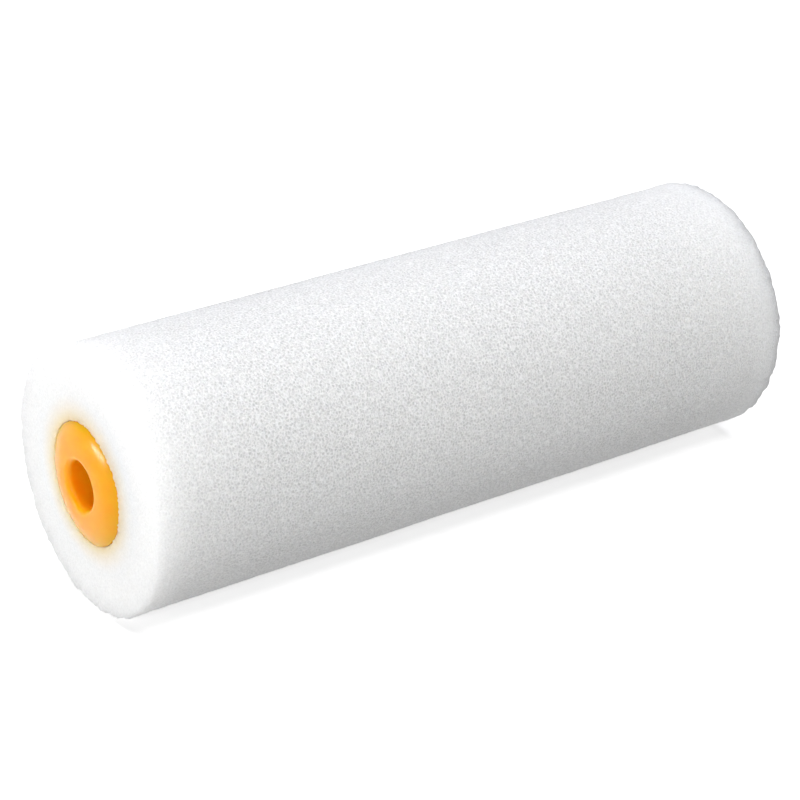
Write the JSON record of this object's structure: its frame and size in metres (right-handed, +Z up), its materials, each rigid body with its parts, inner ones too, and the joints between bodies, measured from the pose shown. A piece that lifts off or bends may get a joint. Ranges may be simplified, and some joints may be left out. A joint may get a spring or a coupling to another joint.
{
  "type": "mini foam paint roller",
  "caption": "Cylindrical foam paint roller on a plastic core tube, with a bored plug in each end that turns on the rod of a small roller frame.",
  "frame": {"origin": "middle of the roller, on the axis of the bore", "axes": "+Y along the bore from the near end to the far end, +Z up, so the roller lies on its side; the near end, where the rod goes in, faces -Y"},
  "size_m": [0.035, 0.102, 0.035],
  "materials": {
    "white_foam": "fine open-cell foam, matte, slightly translucent",
    "hot_melt_glue": "clear yellowish film, satin",
    "core_plastic": "natural extruded polypropylene, satin",
    "orange_plastic": "glossy moulded polypropylene"
  },
  "bodies": {
    "root": {"foam_sleeve": "white_foam", "glue_film": "hot_melt_glue", "core_tube": "core_plastic", "near_end_plug": "orange_plastic", "far_end_plug": "orange_plastic"}
  },
  "joints": []
}
